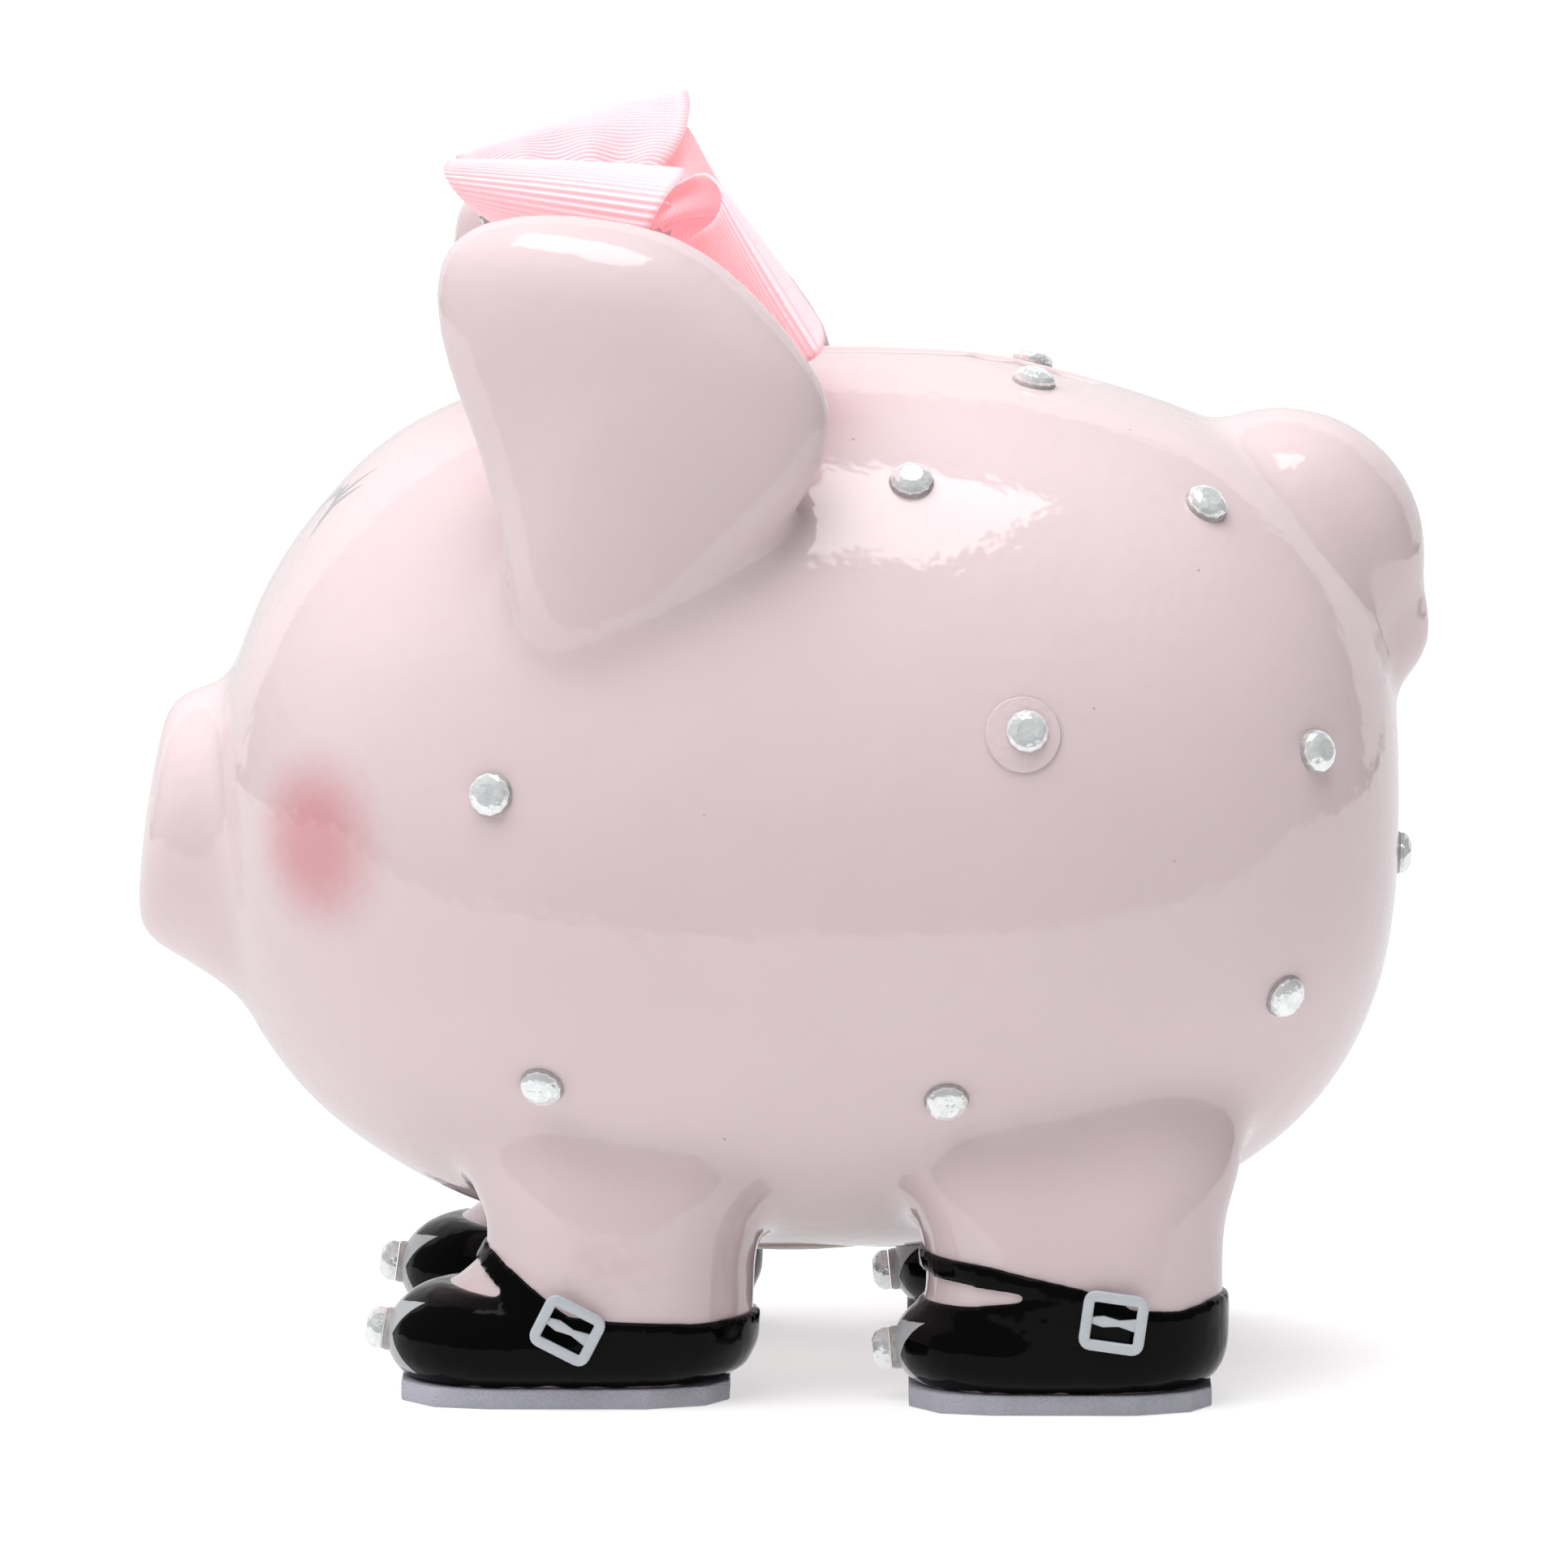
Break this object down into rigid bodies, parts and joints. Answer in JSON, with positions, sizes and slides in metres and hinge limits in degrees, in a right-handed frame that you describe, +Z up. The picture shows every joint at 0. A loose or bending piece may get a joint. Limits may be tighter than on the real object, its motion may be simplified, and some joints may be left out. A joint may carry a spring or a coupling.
{
  "type": "piggy bank",
  "caption": "Round hollow ceramic pig bank on four buckled shoes, with a coin slot, a belly stopper, stuck-on stones and a ribbon bow.",
  "frame": {"origin": "on the ground under the middle of the pig's length and width", "axes": "+Z up, the pig faces -Y, its left side is +X"},
  "size_m": [0.14, 0.1994, 0.1915],
  "materials": {
    "pink_glaze": "glossy pale pink glaze",
    "black_glaze": "glossy black glaze",
    "sole_pad": "matt grey foam sheet",
    "stopper_rubber": "matt off-white rubber",
    "crystal": "clear faceted, silver backed",
    "ribbon": "pale pink ribbed ribbon",
    "silver": "bright silver plate"
  },
  "bodies": {
    "bank": {"body_shell": "pink_glaze", "left_ear": "pink_glaze", "right_ear": "pink_glaze", "tail": "pink_glaze", "front_left_leg": "pink_glaze", "front_right_leg": "pink_glaze", "rear_left_leg": "pink_glaze", "rear_right_leg": "pink_glaze", "front_left_shoe": "black_glaze", "front_right_shoe": "black_glaze", "rear_left_shoe": "black_glaze", "rear_right_shoe": "black_glaze", "front_left_sole_pad": "sole_pad", "front_right_sole_pad": "sole_pad", "rear_left_sole_pad": "sole_pad", "rear_right_sole_pad": "sole_pad", "left_flank_stones": "crystal", "right_flank_stones": "crystal", "rump_stone": "crystal", "toe_stones": "crystal", "bow_front_left_loop": "ribbon", "bow_front_right_loop": "ribbon", "bow_rear_left_loop": "ribbon", "bow_rear_right_loop": "ribbon", "bow_knot": "ribbon", "brooch_setting": "silver", "brooch_stones": "crystal"},
    "stopper": {"belly_stopper": "stopper_rubber"}
  },
  "joints": [
    {"name": "stopper_pull", "type": "slide", "parent": "bank", "child": "stopper", "axis": [0, 0, -1], "range_m": [0, 0.012]}
  ]
}
